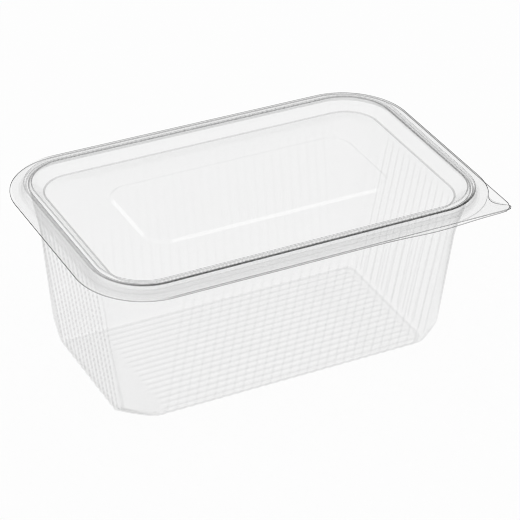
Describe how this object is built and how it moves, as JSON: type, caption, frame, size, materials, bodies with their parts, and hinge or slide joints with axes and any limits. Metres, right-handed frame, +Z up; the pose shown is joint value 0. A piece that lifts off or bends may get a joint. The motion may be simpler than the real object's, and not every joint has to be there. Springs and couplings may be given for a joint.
{
  "type": "takeaway meal container",
  "caption": "Clear rectangular takeaway box, empty, with a ribbed tapering tub, a hinged lid with a raised rim and recessed panel, and opening tabs at one corner.",
  "frame": {"origin": "under the middle of the flange outline, in the plane of the base", "axes": "+X along the long side away from the fold, +Y towards the back long side, +Z up"},
  "size_m": [0.19, 0.1212, 0.082],
  "materials": {
    "tub_sheet": "clear gloss",
    "lid_sheet": "clear gloss"
  },
  "bodies": {
    "tub": {"tub": "tub_sheet"},
    "lid": {"lid": "lid_sheet"}
  },
  "joints": [
    {"name": "lid_fold", "type": "hinge", "parent": "tub", "child": "lid", "pos_m": [-0.09455, 0, 0.07815], "axis": [0, -1, 0], "range_deg": [0, 180]}
  ]
}
